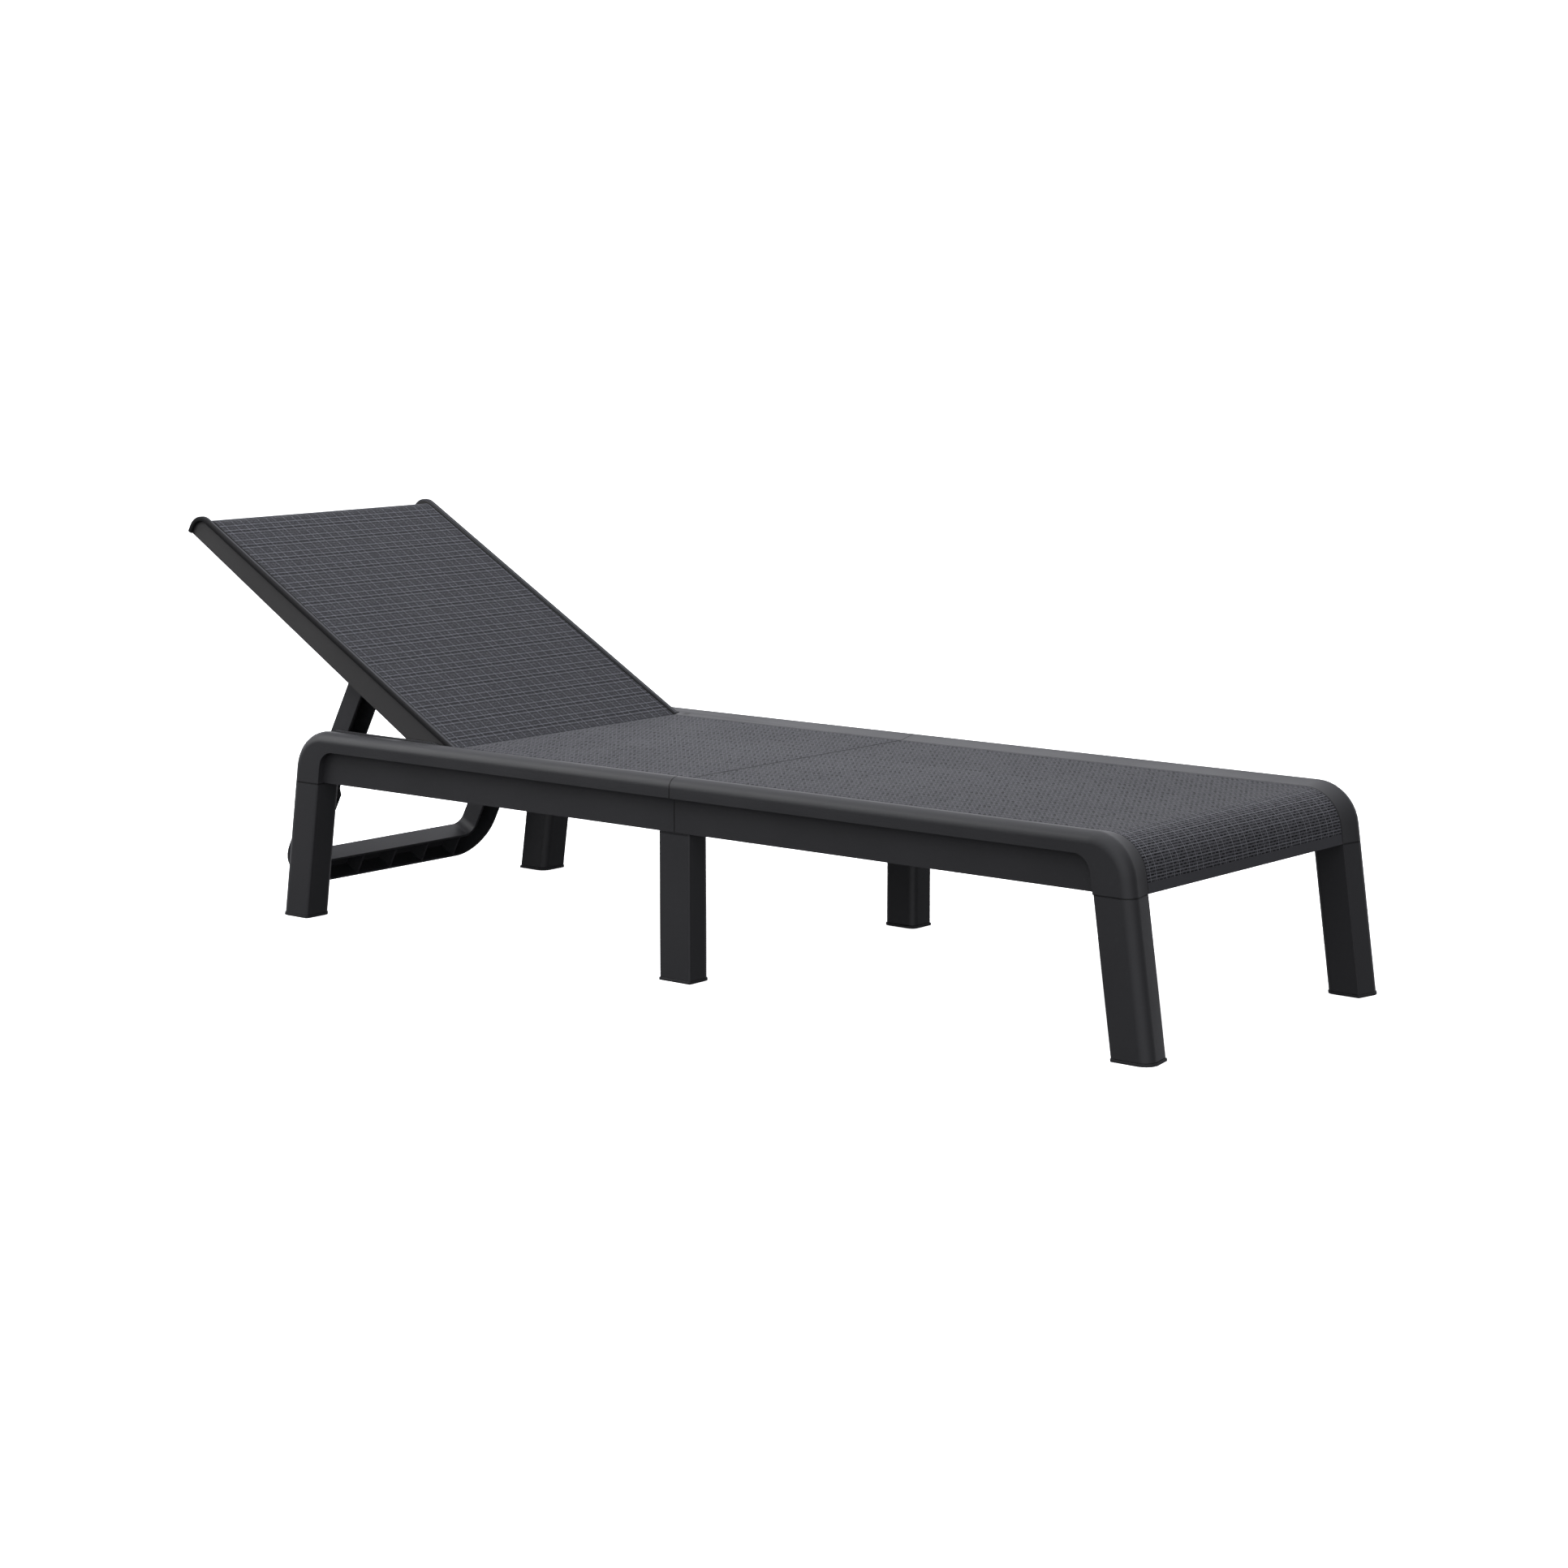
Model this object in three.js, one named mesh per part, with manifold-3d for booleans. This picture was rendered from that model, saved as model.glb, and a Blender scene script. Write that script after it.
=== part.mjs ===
// Resin sun lounger with six legs, a two-piece frame and a raised backrest on a folding prop.
// Millimetres. X runs from the head end to the foot end, Y across, Z up, and the floor is Z = 0.
// The frame is laid out from the seam between its two halves, which is X = 0 until the last lines.
import * as THREE from 'three';
import { mergeVertices } from 'three/addons/utils/BufferGeometryUtils.js';
import Module from 'manifold-3d';

const wasm = await Module();
wasm.setup();

// Driving dimensions of the frame
const frameWidth = 578;
const crestHeight = 292.2;
const rimBandHeight = 29.7;
const apronHeight = 49.5;
const jointBelowApron = 1.5;
const footReach = 801.5;
const legSplayRun = 30.8;
const cornerRadius = 65;

// Section of the side rim, measured in from the outer face and down from the crest
const crestInset = 18.4;
const slopeWidth = 31;
const deckDrop = 6.3;
const rimRoundDepth = 16;
const skin = 4;
const apronRecess = 11;
const stepRadius = 27;

// Legs and their foot caps
const legWidth = 58.4;
const legTenonGap = 1.2;
const legWall = 4;
const legCornerRadius = 3;
const legInnerRadius = 12;
const middleLegWidth = 56;
const middleLegProud = 1.2;
const middleLegDepth = 43;
const middleTenonHeight = 40;
const middleTenonWidth = 44;
const middleScrewShare = 0.6;
const capLip = 4;
const capProud = 1.2;
const capPlug = 16;

// Backrest, laid flat, measured from its hinge axis
const backrestAngle = 29.93;
const hingeFromReach = 337.3;
const noseRadius = 21.2;
const railTip = 653;
const panelSetback = 8;
const tipRadius = 27;
const hingeEndDepth = 46.6;
const tipEndDepth = 37.6;
const hingeSideGap = 2.1;
const backrestTaper = 6.4;
const railThickness = 6;
const grooveWidth = 3;
const grooveDepth = 2;
const backRibsAcross = 7;
const backRibShares = [-0.67, -0.33, 0, 0.33, 0.67];
const bracketRun = 28;

// Folding prop under the backrest
const propPivotReach = 253;
const propPivotBelowTop = 22.6;
const propSeatProud = 2.66;
const propSetIn = 29.3;
const propArmWidth = 45;
const propCrossWidth = 43;
const propFloorGap = 23.8;
const propThickness = 32.4;
const propOuterRadius = 62;
const propInnerRadius = 16;
const propWall = 4;
const notchFlankAngle = 45;
const notchStops = [0, 12, 25];
const rackSetback = 5;
const padAbove = 21;
const padBelow = 16.8;
const propRibs = 5;

// Tube across the head end that the prop's notches rest on
const restTubeRadius = 10.5;
const restTubeWall = 1.6;
const restTubeFromReach = 52.8;
const restTubeAboveJoint = 16;
const restTubeBossWall = 3;

// Well, deck edge and hinge
const wellRimWidth = 35.5;
const deckEdgeFromHinge = 9.9;
const wellLipWidth = 5;
const pinRadius = 6;
const pinHeadRadius = 10;
const pinHeadThickness = 4;
const bossRadius = 14;
const bossDepth = 8;

// Ribs, seam and fasteners
const ribThickness = 3;
const deckRibDepth = 22;
const deckRibsLengthwise = 4;
const footRibsAcross = 7;
const headRibsAcross = 4;
const innerWallRise = 12;
const seamGap = 0.6;
const seamFlangeRise = 23;
const boltRise = 21;
const boltReach = 10;
const boltHeadSides = 6;
const boltRadius = 4;
const boltHeadRadius = 7;
const boltHeadThickness = 5;
const screwRadius = 2.5;
const screwHeadRadius = 5;
const screwHeadThickness = 3;
const screwLength = 16;

// Clearances and the overrun of every cut
const fitGap = 0.3;
const runningGap = 0.5;
const overrun = 5;

// Facets on round forms
const arcSteps = 10;
const innerSteps = 4;
const roundSides = 24;
const smallSides = 12;

// Sizes that follow from the ones above
const stepHeight = crestHeight - rimBandHeight;
const apronBottom = stepHeight - apronHeight;
const legJointHeight = apronBottom - jointBelowApron;
const innerWallBottom = apronBottom + innerWallRise;
const seamFlangeBottom = apronBottom + seamFlangeRise;
const halfWidth = frameWidth / 2;
const deckHeight = crestHeight - deckDrop;
const deckHalfWidth = halfWidth - crestInset - slopeWidth;
const apronFace = halfWidth - apronRecess;
const splay = legSplayRun / legJointHeight;
const splayAngle = Math.atan(splay);
const cornerCenterZ = crestHeight - cornerRadius;
const cornerCenterX = footReach - splay * (cornerCenterZ + cornerRadius * Math.sin(splayAngle))
  - cornerRadius * Math.cos(splayAngle);
const hingeFromSeam = footReach - hingeFromReach;
const deckEdgeFromSeam = hingeFromSeam - deckEdgeFromHinge;
const restTubeFromSeam = footReach - restTubeFromReach;
const restTubeHeight = legJointHeight + restTubeAboveJoint;
const wellHalfWidth = halfWidth - wellRimWidth;
const hingeHalfWidth = wellHalfWidth - hingeSideGap;
const tipHalfWidth = hingeHalfWidth - backrestTaper;
const propHalfWidth = tipHalfWidth - propSetIn;
const panelTip = railTip - panelSetback;
const hingeX = -hingeFromSeam;
const hingeZ = deckHeight - noseRadius;
const hingeHole = pinRadius + fitGap;
const noseClear = noseRadius + runningGap;
const wellStart = hingeFromSeam - noseClear;

const graphite = { color: 0x35353a, roughness: 0.62, metalness: 0 };
const graphiteWeave = { color: 0x45464d, roughness: 0.7, metalness: 0 };
const rubber = { color: 0x232326, roughness: 0.85, metalness: 0 };
const aluminium = { color: 0x9a9ca0, roughness: 0.4, metalness: 0.9 };
const steel = { color: 0x8d8f93, roughness: 0.35, metalness: 1 };

function radians(degrees) {
  return THREE.MathUtils.degToRad(degrees);
}

// Solids from three.js geometries, and their joins and cuts
function solid(geometry) {
  const bare = geometry.clone();
  bare.deleteAttribute('normal');
  bare.deleteAttribute('uv');
  const merged = mergeVertices(bare);
  return new wasm.Manifold(new wasm.Mesh({
    numProp: 3,
    vertProperties: merged.attributes.position.array,
    triVerts: new Uint32Array(merged.index.array),
  }));
}

function join(parts) {
  return parts.reduce((whole, part) => whole.add(part));
}

function cut(body, tools) {
  return tools.reduce((rest, tool) => rest.subtract(tool), body);
}

function mesh(name, body, look) {
  const surface = body.getMesh();
  const geometry = new THREE.BufferGeometry();
  geometry.setAttribute('position', new THREE.BufferAttribute(surface.vertProperties, 3));
  geometry.setIndex(new THREE.BufferAttribute(surface.triVerts, 1));
  geometry.computeVertexNormals();
  const result = new THREE.Mesh(geometry, new THREE.MeshStandardMaterial(look));
  result.name = name;
  return result;
}

function shapeOf(outline) {
  if (!Array.isArray(outline)) {
    return outline;
  }
  return new THREE.Shape(outline.map(([a, b]) => new THREE.Vector2(a, b)));
}

// An outline given in X and Z, drawn out along Y
function alongY(outline, from, to) {
  const shape = shapeOf(outline);
  const low = Math.min(from, to);
  const high = Math.max(from, to);
  const geometry = new THREE.ExtrudeGeometry(shape, {
    depth: high - low, bevelEnabled: false, curveSegments: arcSteps / 2,
  });
  return solid(geometry.rotateX(Math.PI / 2).translate(0, high, 0));
}

// An outline given in Y and Z, drawn out along X
function alongX(outline, from, to) {
  const shape = shapeOf(outline);
  const geometry = new THREE.ExtrudeGeometry(shape, {
    depth: to - from, bevelEnabled: false, curveSegments: arcSteps / 2,
  });
  const turn = new THREE.Matrix4().makeBasis(
    new THREE.Vector3(0, 1, 0), new THREE.Vector3(0, 0, 1), new THREE.Vector3(1, 0, 0));
  return solid(geometry.applyMatrix4(turn).translate(from, 0, 0));
}

// An outline given in X and Y, drawn out upwards and leaning by a slope in X
function alongZ(outline, from, to, lean = 0) {
  const shape = shapeOf(outline);
  const geometry = new THREE.ExtrudeGeometry(shape, {
    depth: to - from, bevelEnabled: false, curveSegments: arcSteps / 2,
  });
  geometry.translate(0, 0, from);
  return solid(geometry.applyMatrix4(new THREE.Matrix4().makeShear(0, 0, 0, 0, lean, 0)));
}

function block(x, y, z) {
  const size = [x, y, z].map(([a, b]) => Math.abs(b - a));
  const middle = [x, y, z].map(([a, b]) => (a + b) / 2);
  return solid(new THREE.BoxGeometry(...size).translate(...middle));
}

// A round bar along Y, from one Y to the other
function barY(radius, x, z, from, to, sides = roundSides) {
  const geometry = new THREE.CylinderGeometry(radius, radius, Math.abs(to - from), sides);
  return solid(geometry.translate(x, (from + to) / 2, z));
}

function barX(radius, y, z, from, to, sides = smallSides) {
  const geometry = new THREE.CylinderGeometry(radius, radius, Math.abs(to - from), sides);
  return solid(geometry.rotateZ(Math.PI / 2).translate((from + to) / 2, y, z));
}

// The crest line of one frame half in X and Z, moved in by a depth: level, round the corner, down the leg
function edgeLine(depth, from, bottom, facing) {
  const radius = cornerRadius - depth;
  const points = [[from, crestHeight - depth]];
  for (let step = 0; step <= arcSteps; step += 1) {
    const angle = Math.PI / 2 + (splayAngle - Math.PI / 2) * step / arcSteps;
    points.push([
      cornerCenterX + radius * Math.cos(angle),
      cornerCenterZ + radius * Math.sin(angle),
    ]);
  }
  points.push([sideLine(depth, bottom), bottom]);
  return points.map(([x, z]) => [facing * x, z]);
}

// X of the leg's outer side at a height, moved in by a depth
function sideLine(depth, z) {
  return footReach - splay * z - depth / Math.cos(splayAngle);
}

// X of the leg's inner side at a height
function innerLine(z) {
  return footReach - splay * z - legWidth;
}

// The inner edge of the raised band on the outer face, moved towards the rim by an offset
function stepLine(offset, from, bottom, facing) {
  const radius = stepRadius + offset;
  const centerZ = stepHeight - stepRadius;
  const centerX = innerLine(centerZ + stepRadius * Math.sin(splayAngle))
    - stepRadius * Math.cos(splayAngle);
  const points = [[from, stepHeight + offset]];
  for (let step = 0; step <= arcSteps; step += 1) {
    const angle = Math.PI / 2 + (splayAngle - Math.PI / 2) * step / arcSteps;
    points.push([centerX + radius * Math.cos(angle), centerZ + radius * Math.sin(angle)]);
  }
  points.push([innerLine(bottom) + offset / Math.cos(splayAngle), bottom]);
  return points.map(([x, z]) => [facing * x, z]);
}

// A path through given points, one step between each two, square to the given directions
class StationPath extends THREE.Curve {
  constructor(points, directions) {
    super();
    this.points = points;
    this.directions = directions;
  }

  between(list, t) {
    const place = t * (list.length - 1);
    const first = Math.min(Math.floor(place), list.length - 2);
    return list[first].clone().lerp(list[first + 1], place - first);
  }

  getPoint(t) {
    return this.between(this.points, t);
  }

  getTangent(t) {
    return this.between(this.directions, t).normalize();
  }

  getUtoTmapping(u) {
    return u;
  }
}

// The rim: a thin rounded section swept along the crest line and down the corner
function rimSweep(facing, side) {
  const line = edgeLine(0, seamGap / 2, legJointHeight - overrun, facing);
  const points = line.map(([x, z]) => new THREE.Vector3(x, 0, z));
  const directions = line.map((point, index) => {
    const turned = THREE.MathUtils.clamp((index - 1) / arcSteps, 0, 1);
    const angle = turned * (Math.PI / 2 - splayAngle);
    return new THREE.Vector3(facing * Math.cos(angle), 0, -Math.sin(angle));
  });
  const section = [[crestHeight - stepHeight, 0]];
  const quarter = (inset, depth, reach, drop, steps) => {
    for (let step = 0; step <= steps; step += 1) {
      const angle = (step / steps) * (Math.PI / 2);
      section.push([depth - drop * Math.sin(angle), inset - reach * Math.cos(angle)]);
    }
  };
  quarter(crestInset, rimRoundDepth, crestInset, rimRoundDepth, arcSteps / 2);
  section.push([deckDrop, crestInset + slopeWidth]);
  section.push([deckDrop + skin, crestInset + slopeWidth]);
  const inner = section.length;
  quarter(crestInset, rimRoundDepth, crestInset - skin, rimRoundDepth - skin, innerSteps);
  section.push(...section.splice(inner).reverse());
  section.push([crestHeight - stepHeight, skin]);
  const placed = section.map(([depth, inset]) => [depth, facing * side * (halfWidth - inset)]);
  return solid(new THREE.ExtrudeGeometry(shapeOf(placed), {
    steps: points.length - 1, extrudePath: new StationPath(points, directions),
  }));
}

// One side of a frame half: rim, raised band, its step, the recessed apron and the inner wall
function railSide(facing, side, wallFrom, wallTo) {
  const y = (inset) => side * (halfWidth - inset);
  const start = seamGap / 2;
  const low = legJointHeight - overrun;
  const bandDepth = rimRoundDepth + skin;
  const bandFrom = cornerCenterX - cornerRadius;
  const band = [
    ...edgeLine(bandDepth, bandFrom, low, facing),
    ...stepLine(0, bandFrom, low, facing).reverse(),
  ];
  const step = [
    ...stepLine(skin, start, low, facing),
    ...stepLine(0, start, low, facing).reverse(),
  ];
  const apron = [
    ...stepLine(skin / 2, start, apronBottom, facing),
    [facing * start, apronBottom],
  ];
  const wall = [
    ...edgeLine(deckDrop + skin / 2, wallFrom, low, facing),
    [facing * innerLine(low), low],
    [facing * innerLine(innerWallBottom), innerWallBottom],
    [facing * wallFrom, innerWallBottom],
  ];
  const socket = [
    [facing * innerLine(low), low],
    [facing * (innerLine(low) + skin), low],
    [facing * (innerLine(stepHeight) + skin), stepHeight],
    [facing * innerLine(stepHeight), stepHeight],
  ];
  const webs = (facing > 0 ? footRibPlaces() : headRibPlaces()).map((x) => block(
    [x - ribThickness / 2, x + ribThickness / 2],
    [y(apronRecess + skin / 2), side * (deckHalfWidth + skin / 2)],
    [innerWallBottom, stepHeight + skin / 2]));
  const pocket = middleTenonWidth / 2 + runningGap;
  webs.push(block([facing * pocket, facing * (pocket + skin)],
    [y(apronRecess + skin / 2), side * (deckHalfWidth + skin / 2)],
    [innerWallBottom, stepHeight + skin / 2]));
  return join([
    ...webs,
    rimSweep(facing, side),
    alongY(band, y(0), y(skin)),
    alongY(step, y(0), y(apronRecess + skin)),
    alongY(apron, y(apronRecess), y(apronRecess + skin)),
    alongY(wall, side * wallTo, side * (wallTo + skin)),
    alongY(socket, y(skin / 2), side * (wallTo + skin / 2)),
  ]);
}

// X of the ribs across a frame half, at an even pitch between two X
function evenly(from, to, count) {
  return Array.from({ length: count }, (unused, index) => from + (to - from) * (index + 1) / (count + 1));
}

function footRibPlaces() {
  return evenly(seamGap / 2, cornerCenterX, footRibsAcross);
}

function headRibPlaces() {
  return evenly(skin - wellStart, -seamGap / 2, headRibsAcross);
}

// Cells under the deck: ribs across at the given X, and lengthwise ribs from end to end
function deckRibs(from, to, places) {
  const z = [deckHeight - deckRibDepth, deckHeight - skin / 2];
  const across = places.map((x) => block(
    [x - ribThickness / 2, x + ribThickness / 2], [-deckHalfWidth, deckHalfWidth], z));
  const lengthwise = evenly(-deckHalfWidth, deckHalfWidth, deckRibsLengthwise).map((y) => block(
    [from, to], [y - ribThickness / 2, y + ribThickness / 2], z));
  return [...across, ...lengthwise];
}

const boltPlaceShares = [-0.75, -0.25, 0.25, 0.75];
const boltHeight = seamFlangeBottom + boltRise;

function boltHoles() {
  return boltPlaceShares.map((share) => barX(boltRadius + fitGap, share * deckHalfWidth, boltHeight,
    -overrun - skin, overrun + skin));
}

// Screws that hold the legs: along X into a corner leg's tenon, along Y into a middle leg's
function legScrewPlaces() {
  const height = (legJointHeight + tenonTop()) / 2;
  const middleHeight = apronBottom + middleTenonHeight * middleScrewShare;
  const places = [];
  for (const side of [-1, 1]) {
    for (const facing of [-1, 1]) {
      places.push({ corner: true, side, facing, z: height });
      places.push({ corner: false, side, facing, z: middleHeight });
    }
  }
  return places;
}

// A round bar on a leg screw's axis, between two distances from the face that its head lies on
function onScrewAxis({ corner, side, facing, z }, radius, from, to) {
  if (corner) {
    const face = innerLine(z + screwHeadRadius);
    const ends = [facing * (face + from), facing * (face + to)].sort((a, b) => a - b);
    return barX(radius, side * (halfWidth - (crestInset + slopeWidth) / 2), z, ...ends);
  }
  return barY(radius, facing * middleTenonWidth / 4, z, side * (deckHalfWidth + from),
    side * (deckHalfWidth + to), smallSides);
}

function legScrewHoles() {
  return legScrewPlaces().map((place) => onScrewAxis(
    place, screwRadius + fitGap, -overrun, skin + overrun));
}

function seamFlange(facing) {
  const reach = deckHalfWidth + skin / 2;
  return block([facing * seamGap / 2, facing * (seamGap / 2 + skin)], [-reach, reach],
    [seamFlangeBottom, deckHeight - skin / 2]);
}

function belowJoint() {
  const reach = footReach + overrun;
  return block([-reach, reach], [-frameWidth, frameWidth], [-overrun, legJointHeight]);
}

// Foot half: deck that rolls down into a front apron, both rails and the sockets of two legs
function footHalf() {
  const low = legJointHeight - overrun;
  const start = seamGap / 2;
  const deck = [
    ...edgeLine(deckDrop, start, low, 1),
    ...edgeLine(deckDrop + skin, start, low, 1).reverse(),
  ];
  const reach = deckHalfWidth + skin / 2;
  const body = join([
    ...[-1, 1].map((side) => railSide(1, side, start, deckHalfWidth)),
    alongY(deck, -reach, reach),
    seamFlange(1),
    ...deckRibs(start, cornerCenterX, footRibPlaces()),
  ]);
  return cut(body, [belowJoint(), ...boltHoles(), ...legScrewHoles()]);
}

// Top of the head legs' sockets, where the side rails of the flat backrest come to rest
function socketTop() {
  return deckHeight - backrestDepthAt(innerLine(legJointHeight) - hingeFromSeam) - fitGap;
}

// Top of every corner leg's tenon, just under the lid of a head leg's socket
function tenonTop() {
  return socketTop() - skin - legTenonGap;
}

// The well between the rails, from the deck's edge to past the head end, over the leg sockets
function wellSpace() {
  const top = crestHeight + overrun;
  const low = legJointHeight - 2 * overrun;
  const end = -footReach;
  const outline = [
    [end, top], [-deckEdgeFromSeam, top], [-deckEdgeFromSeam, hingeZ], [-wellStart, hingeZ],
    [-wellStart, low], [-innerLine(low), low],
    [-innerLine(socketTop()), socketTop()], [end, socketTop()],
  ];
  return alongY(outline, -wellHalfWidth, wellHalfWidth);
}

// Head half: a short deck, then an open well between the rails in which the backrest lies when flat
function headHalf() {
  const start = seamGap / 2;
  const reach = deckHalfWidth + skin / 2;
  const wallEnd = wellStart - skin;
  const rails = [-1, 1].map((side) => railSide(-1, side, start, deckHalfWidth).subtract(wellSpace()));
  const wellWalls = [-1, 1].map((side) => {
    const lid = socketTop() - skin;
    const low = legJointHeight - overrun;
    const outline = [
      ...edgeLine(deckDrop, wallEnd, low, -1),
      [-innerLine(low), low], [-innerLine(innerWallBottom), innerWallBottom],
      [-wallEnd, innerWallBottom],
    ];
    const legRoom = [
      [-footReach, lid], [-innerLine(lid), lid],
      [-innerLine(low), low - overrun], [-footReach, low - overrun],
    ];
    return alongY(outline, side * wellHalfWidth, side * (wellHalfWidth + skin))
      .subtract(alongY(legRoom, side * deckHalfWidth, side * halfWidth));
  });
  const lips = [-1, 1].map((side) => {
    const from = deckEdgeFromSeam + noseRadius;
    const to = cornerCenterX + cornerRadius / 2;
    const outline = [
      [-from, deckHeight], [-from - noseRadius, crestHeight],
      [-cornerCenterX, crestHeight], [-to, deckHeight],
    ];
    return alongY(outline, side * wellHalfWidth, side * (wellHalfWidth + wellLipWidth));
  });
  const socketLids = [-1, 1].map((side) => {
    const top = socketTop();
    const floor = top - skin;
    const outline = [
      [-innerLine(floor), floor], [-sideLine(deckDrop, floor), floor],
      [-sideLine(deckDrop, top), top], [-innerLine(top), top],
    ];
    return alongY(outline, side * deckHalfWidth, side * (wellHalfWidth + skin));
  });
  const bosses = [-1, 1].flatMap((side) => [
    barY(bossRadius, hingeX, hingeZ, side * (wellHalfWidth + skin / 2), side * (wellHalfWidth + bossDepth)),
    barY(restTubeRadius + restTubeBossWall, -restTubeFromSeam, restTubeHeight,
      side * (deckHalfWidth + skin / 2), side * (deckHalfWidth - bossDepth)),
  ]);
  const holes = [-1, 1].flatMap((side) => [
    barY(hingeHole, hingeX, hingeZ, side * (wellHalfWidth - overrun), side * (apronFace - skin - overrun),
      smallSides),
    barY(restTubeRadius + fitGap, -restTubeFromSeam, restTubeHeight,
      side * (deckHalfWidth - bossDepth - overrun), side * (deckHalfWidth + skin + overrun)),
  ]);
  const body = join([
    ...rails,
    ...wellWalls,
    ...lips,
    ...socketLids,
    ...bosses,
    block([-deckEdgeFromSeam, -start], [-reach, reach], [deckHeight - skin, deckHeight]),
    block([-wellStart, -wallEnd], [-wellHalfWidth - skin / 2, wellHalfWidth + skin / 2],
      [innerWallBottom, deckHeight - skin / 2]),
    seamFlange(-1),
    ...deckRibs(-wallEnd, -start, headRibPlaces()),
  ]);
  const nose = barY(noseClear, hingeX, hingeZ, -wellHalfWidth, wellHalfWidth);
  return cut(body, [belowJoint(), nose, ...boltHoles(), ...legScrewHoles(), ...holes]);
}

// Where the prop pivots, laid flat and raised by an angle
const propPivotX = -propPivotReach;
const propPivotZ = noseRadius - propPivotBelowTop;

function pivotRaised(degrees) {
  const raised = radians(degrees);
  return new THREE.Vector2(
    hingeX + propPivotX * Math.cos(raised) + propPivotZ * Math.sin(raised),
    hingeZ - propPivotX * Math.sin(raised) + propPivotZ * Math.cos(raised));
}

// The prop's tilt is the one that brings its face, with the notch in it, onto the tube,
// and its length is the one that leaves the gap to the floor
const tubeSeat = propThickness / 2 + propSeatProud;
const propPivot = pivotRaised(backrestAngle);
const propToTube = new THREE.Vector2(-restTubeFromSeam, restTubeHeight).sub(propPivot);
const propTilt = -Math.atan2(propToTube.y, propToTube.x) - Math.acos(tubeSeat / propToTube.length());
const propLean = propTilt - radians(backrestAngle);
const propHeight = propPivot.y - propFloorGap - propThickness / 2 * Math.sin(propTilt);
const propLength = propHeight / Math.cos(propTilt);

function backrestDepthAt(reach) {
  return hingeEndDepth + (tipEndDepth - hingeEndDepth) * reach / railTip;
}

// The tube's centre seen from the prop's pivot, in the prop's own upright frame. The settings
// below the first are set back, where the arm gets thinner.
function tubeInProp(stop) {
  const pivot = pivotRaised(backrestAngle + stop);
  const distance = Math.hypot(-restTubeFromSeam - pivot.x, restTubeHeight - pivot.y);
  const x = stop === 0 ? tubeSeat : tubeSeat - rackSetback;
  return { x, z: -Math.sqrt(distance * distance - x * x) };
}

// Corner leg section in X and Y at the joint height, moved in by an inset
function cornerLegOutline(facing, side, inset) {
  const u = (value) => facing * (footReach - legWidth + value);
  const v = (value) => side * (halfWidth - value);
  const depth = crestInset + slopeWidth;
  const sharp = Math.max(legCornerRadius - inset, legCornerRadius / 2);
  const inner = Math.max(legInnerRadius - inset, legCornerRadius);
  const endDrop = deckDrop * (1 - inset / depth);
  const points = [];
  const corner = (cu, cv, ru, rv, from) => {
    const steps = arcSteps / 2;
    for (let step = 0; step <= steps; step += 1) {
      const angle = from + (Math.PI / 2) * step / steps;
      points.push([u(cu + ru * Math.cos(angle)), v(cv + rv * Math.sin(angle))]);
    }
  };
  corner(inset + sharp, inset + sharp, sharp, sharp, Math.PI);
  corner(legWidth - rimRoundDepth, crestInset, rimRoundDepth - inset, crestInset - inset, -Math.PI / 2);
  points.push([u(legWidth - endDrop - inset), v(depth - inset)]);
  corner(inset + inner, depth - inset - inner, inner, inner, Math.PI / 2);
  return points;
}

function cornerLeg(facing, side) {
  const lean = -facing * splay;
  const tenonInset = skin + fitGap;
  const shoulder = legJointHeight - fitGap;
  const bottom = capLip + fitGap;
  const shell = alongZ(cornerLegOutline(facing, side, 0), bottom, shoulder, lean);
  const tenon = alongZ(cornerLegOutline(facing, side, tenonInset + fitGap), shoulder - legWall,
    tenonTop(), lean);
  const hollow = alongZ(cornerLegOutline(facing, side, legWall),
    bottom - overrun, shoulder - legWall, lean);
  return cut(shell.add(tenon), [hollow, ...screwPilots()]);
}

function screwPilots() {
  return legScrewPlaces().map((place) => onScrewAxis(
    place, screwRadius + fitGap, skin, screwLength + fitGap));
}

// Middle leg section, plain at the apron and well rounded on the inside
function middleLegOutline(side, inset) {
  const shape = new THREE.Shape();
  const x = middleLegWidth / 2 - inset;
  const outer = apronFace + middleLegProud - inset;
  const inner = apronFace + middleLegProud - middleLegDepth + inset;
  const radius = legInnerRadius - inset / 2;
  const sharp = legCornerRadius / 2;
  shape.moveTo(-x, side * (outer - sharp));
  shape.lineTo(-x + sharp, side * outer);
  shape.lineTo(x - sharp, side * outer);
  shape.lineTo(x, side * (outer - sharp));
  shape.lineTo(x, side * (inner + radius));
  shape.quadraticCurveTo(x, side * inner, x - radius, side * inner);
  shape.lineTo(-x + radius, side * inner);
  shape.quadraticCurveTo(-x, side * inner, -x, side * (inner + radius));
  return shape;
}

function middleLeg(side) {
  const shoulder = apronBottom - fitGap;
  const bottom = capLip + fitGap;
  const tenonOuter = apronFace - skin - runningGap;
  const tenonInner = deckHalfWidth + skin + runningGap;
  const shell = alongZ(middleLegOutline(side, 0), bottom, shoulder);
  const tenon = block([-middleTenonWidth / 2, middleTenonWidth / 2], [side * tenonInner, side * tenonOuter],
    [shoulder - legWall, apronBottom + middleTenonHeight]);
  const hollow = alongZ(middleLegOutline(side, legWall), bottom - overrun, shoulder - legWall);
  return cut(shell.add(tenon), [hollow, ...screwPilots()]);
}

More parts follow.
